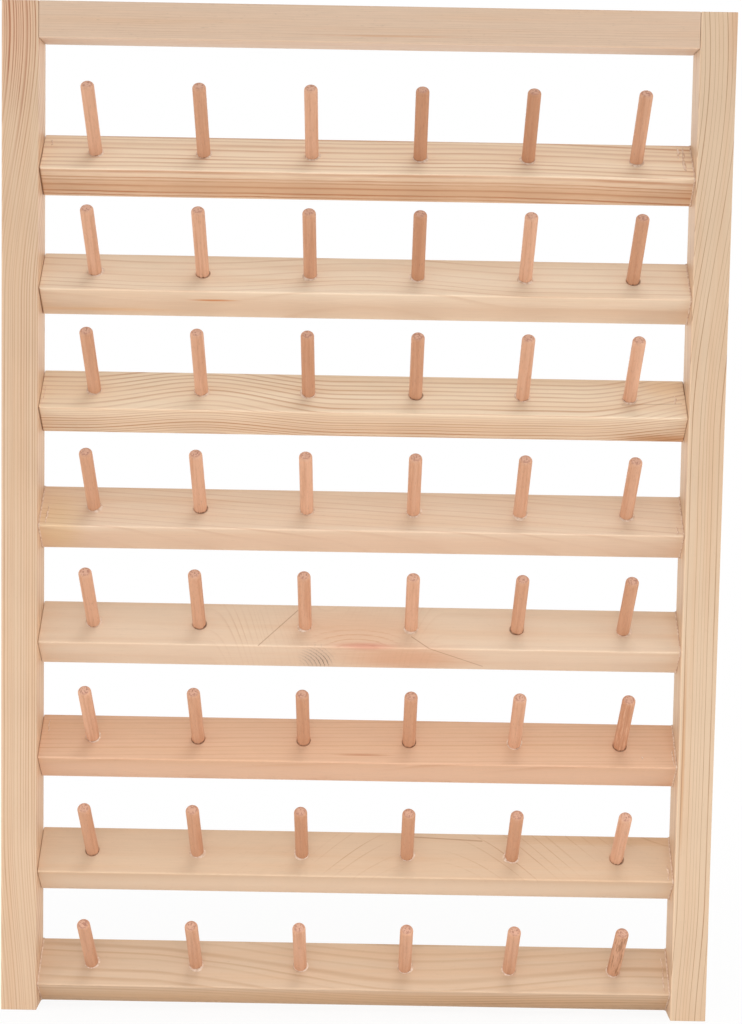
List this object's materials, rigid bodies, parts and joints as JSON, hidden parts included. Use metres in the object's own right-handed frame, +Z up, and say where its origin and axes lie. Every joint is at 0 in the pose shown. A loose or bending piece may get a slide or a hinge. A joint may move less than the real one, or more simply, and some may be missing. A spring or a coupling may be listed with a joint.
{
  "type": "wall thread rack",
  "caption": "Pine wall rack for spools of thread: two stiles, a top rail and slanted bars with rows of leaning beech pegs, and ring hangers behind.",
  "frame": {"origin": "middle of the top rail's back face, in the plane that lies against the wall", "axes": "+X to the right seen from the front, +Y back to the wall, +Z up"},
  "size_m": [0.3, 0.038, 0.422],
  "materials": {
    "pine": "bare planed softwood, matt",
    "beech": "bare turned hardwood dowel, matt",
    "zinc_steel": "bright zinc-plated steel"
  },
  "bodies": {
    "rack": {"left_stile": "pine", "right_stile": "pine", "top_rail": "pine", "bar_1": "pine", "bar_2": "pine", "bar_3": "pine", "bar_4": "pine", "bar_5": "pine", "bar_6": "pine", "bar_7": "pine", "bar_8": "pine", "row_1_pegs": "beech", "row_2_pegs": "beech", "row_3_pegs": "beech", "row_4_pegs": "beech", "row_5_pegs": "beech", "row_6_pegs": "beech", "row_7_pegs": "beech", "row_8_pegs": "beech", "left_brads": "zinc_steel", "right_brads": "zinc_steel", "left_hanger_strap": "zinc_steel", "right_hanger_strap": "zinc_steel", "hanger_screws": "zinc_steel"},
    "left_ring": {"left_hanger_ring": "zinc_steel"},
    "right_ring": {"right_hanger_ring": "zinc_steel"}
  },
  "joints": [
    {"name": "left_ring_swing", "type": "hinge", "parent": "rack", "child": "left_ring", "pos_m": [-0.1425, 0.0023, -0.0205], "axis": [1, 0, 0], "range_deg": [0, 180]},
    {"name": "right_ring_swing", "type": "hinge", "parent": "rack", "child": "right_ring", "pos_m": [0.1425, 0.0023, -0.0205], "axis": [1, 0, 0], "range_deg": [0, 180]}
  ]
}
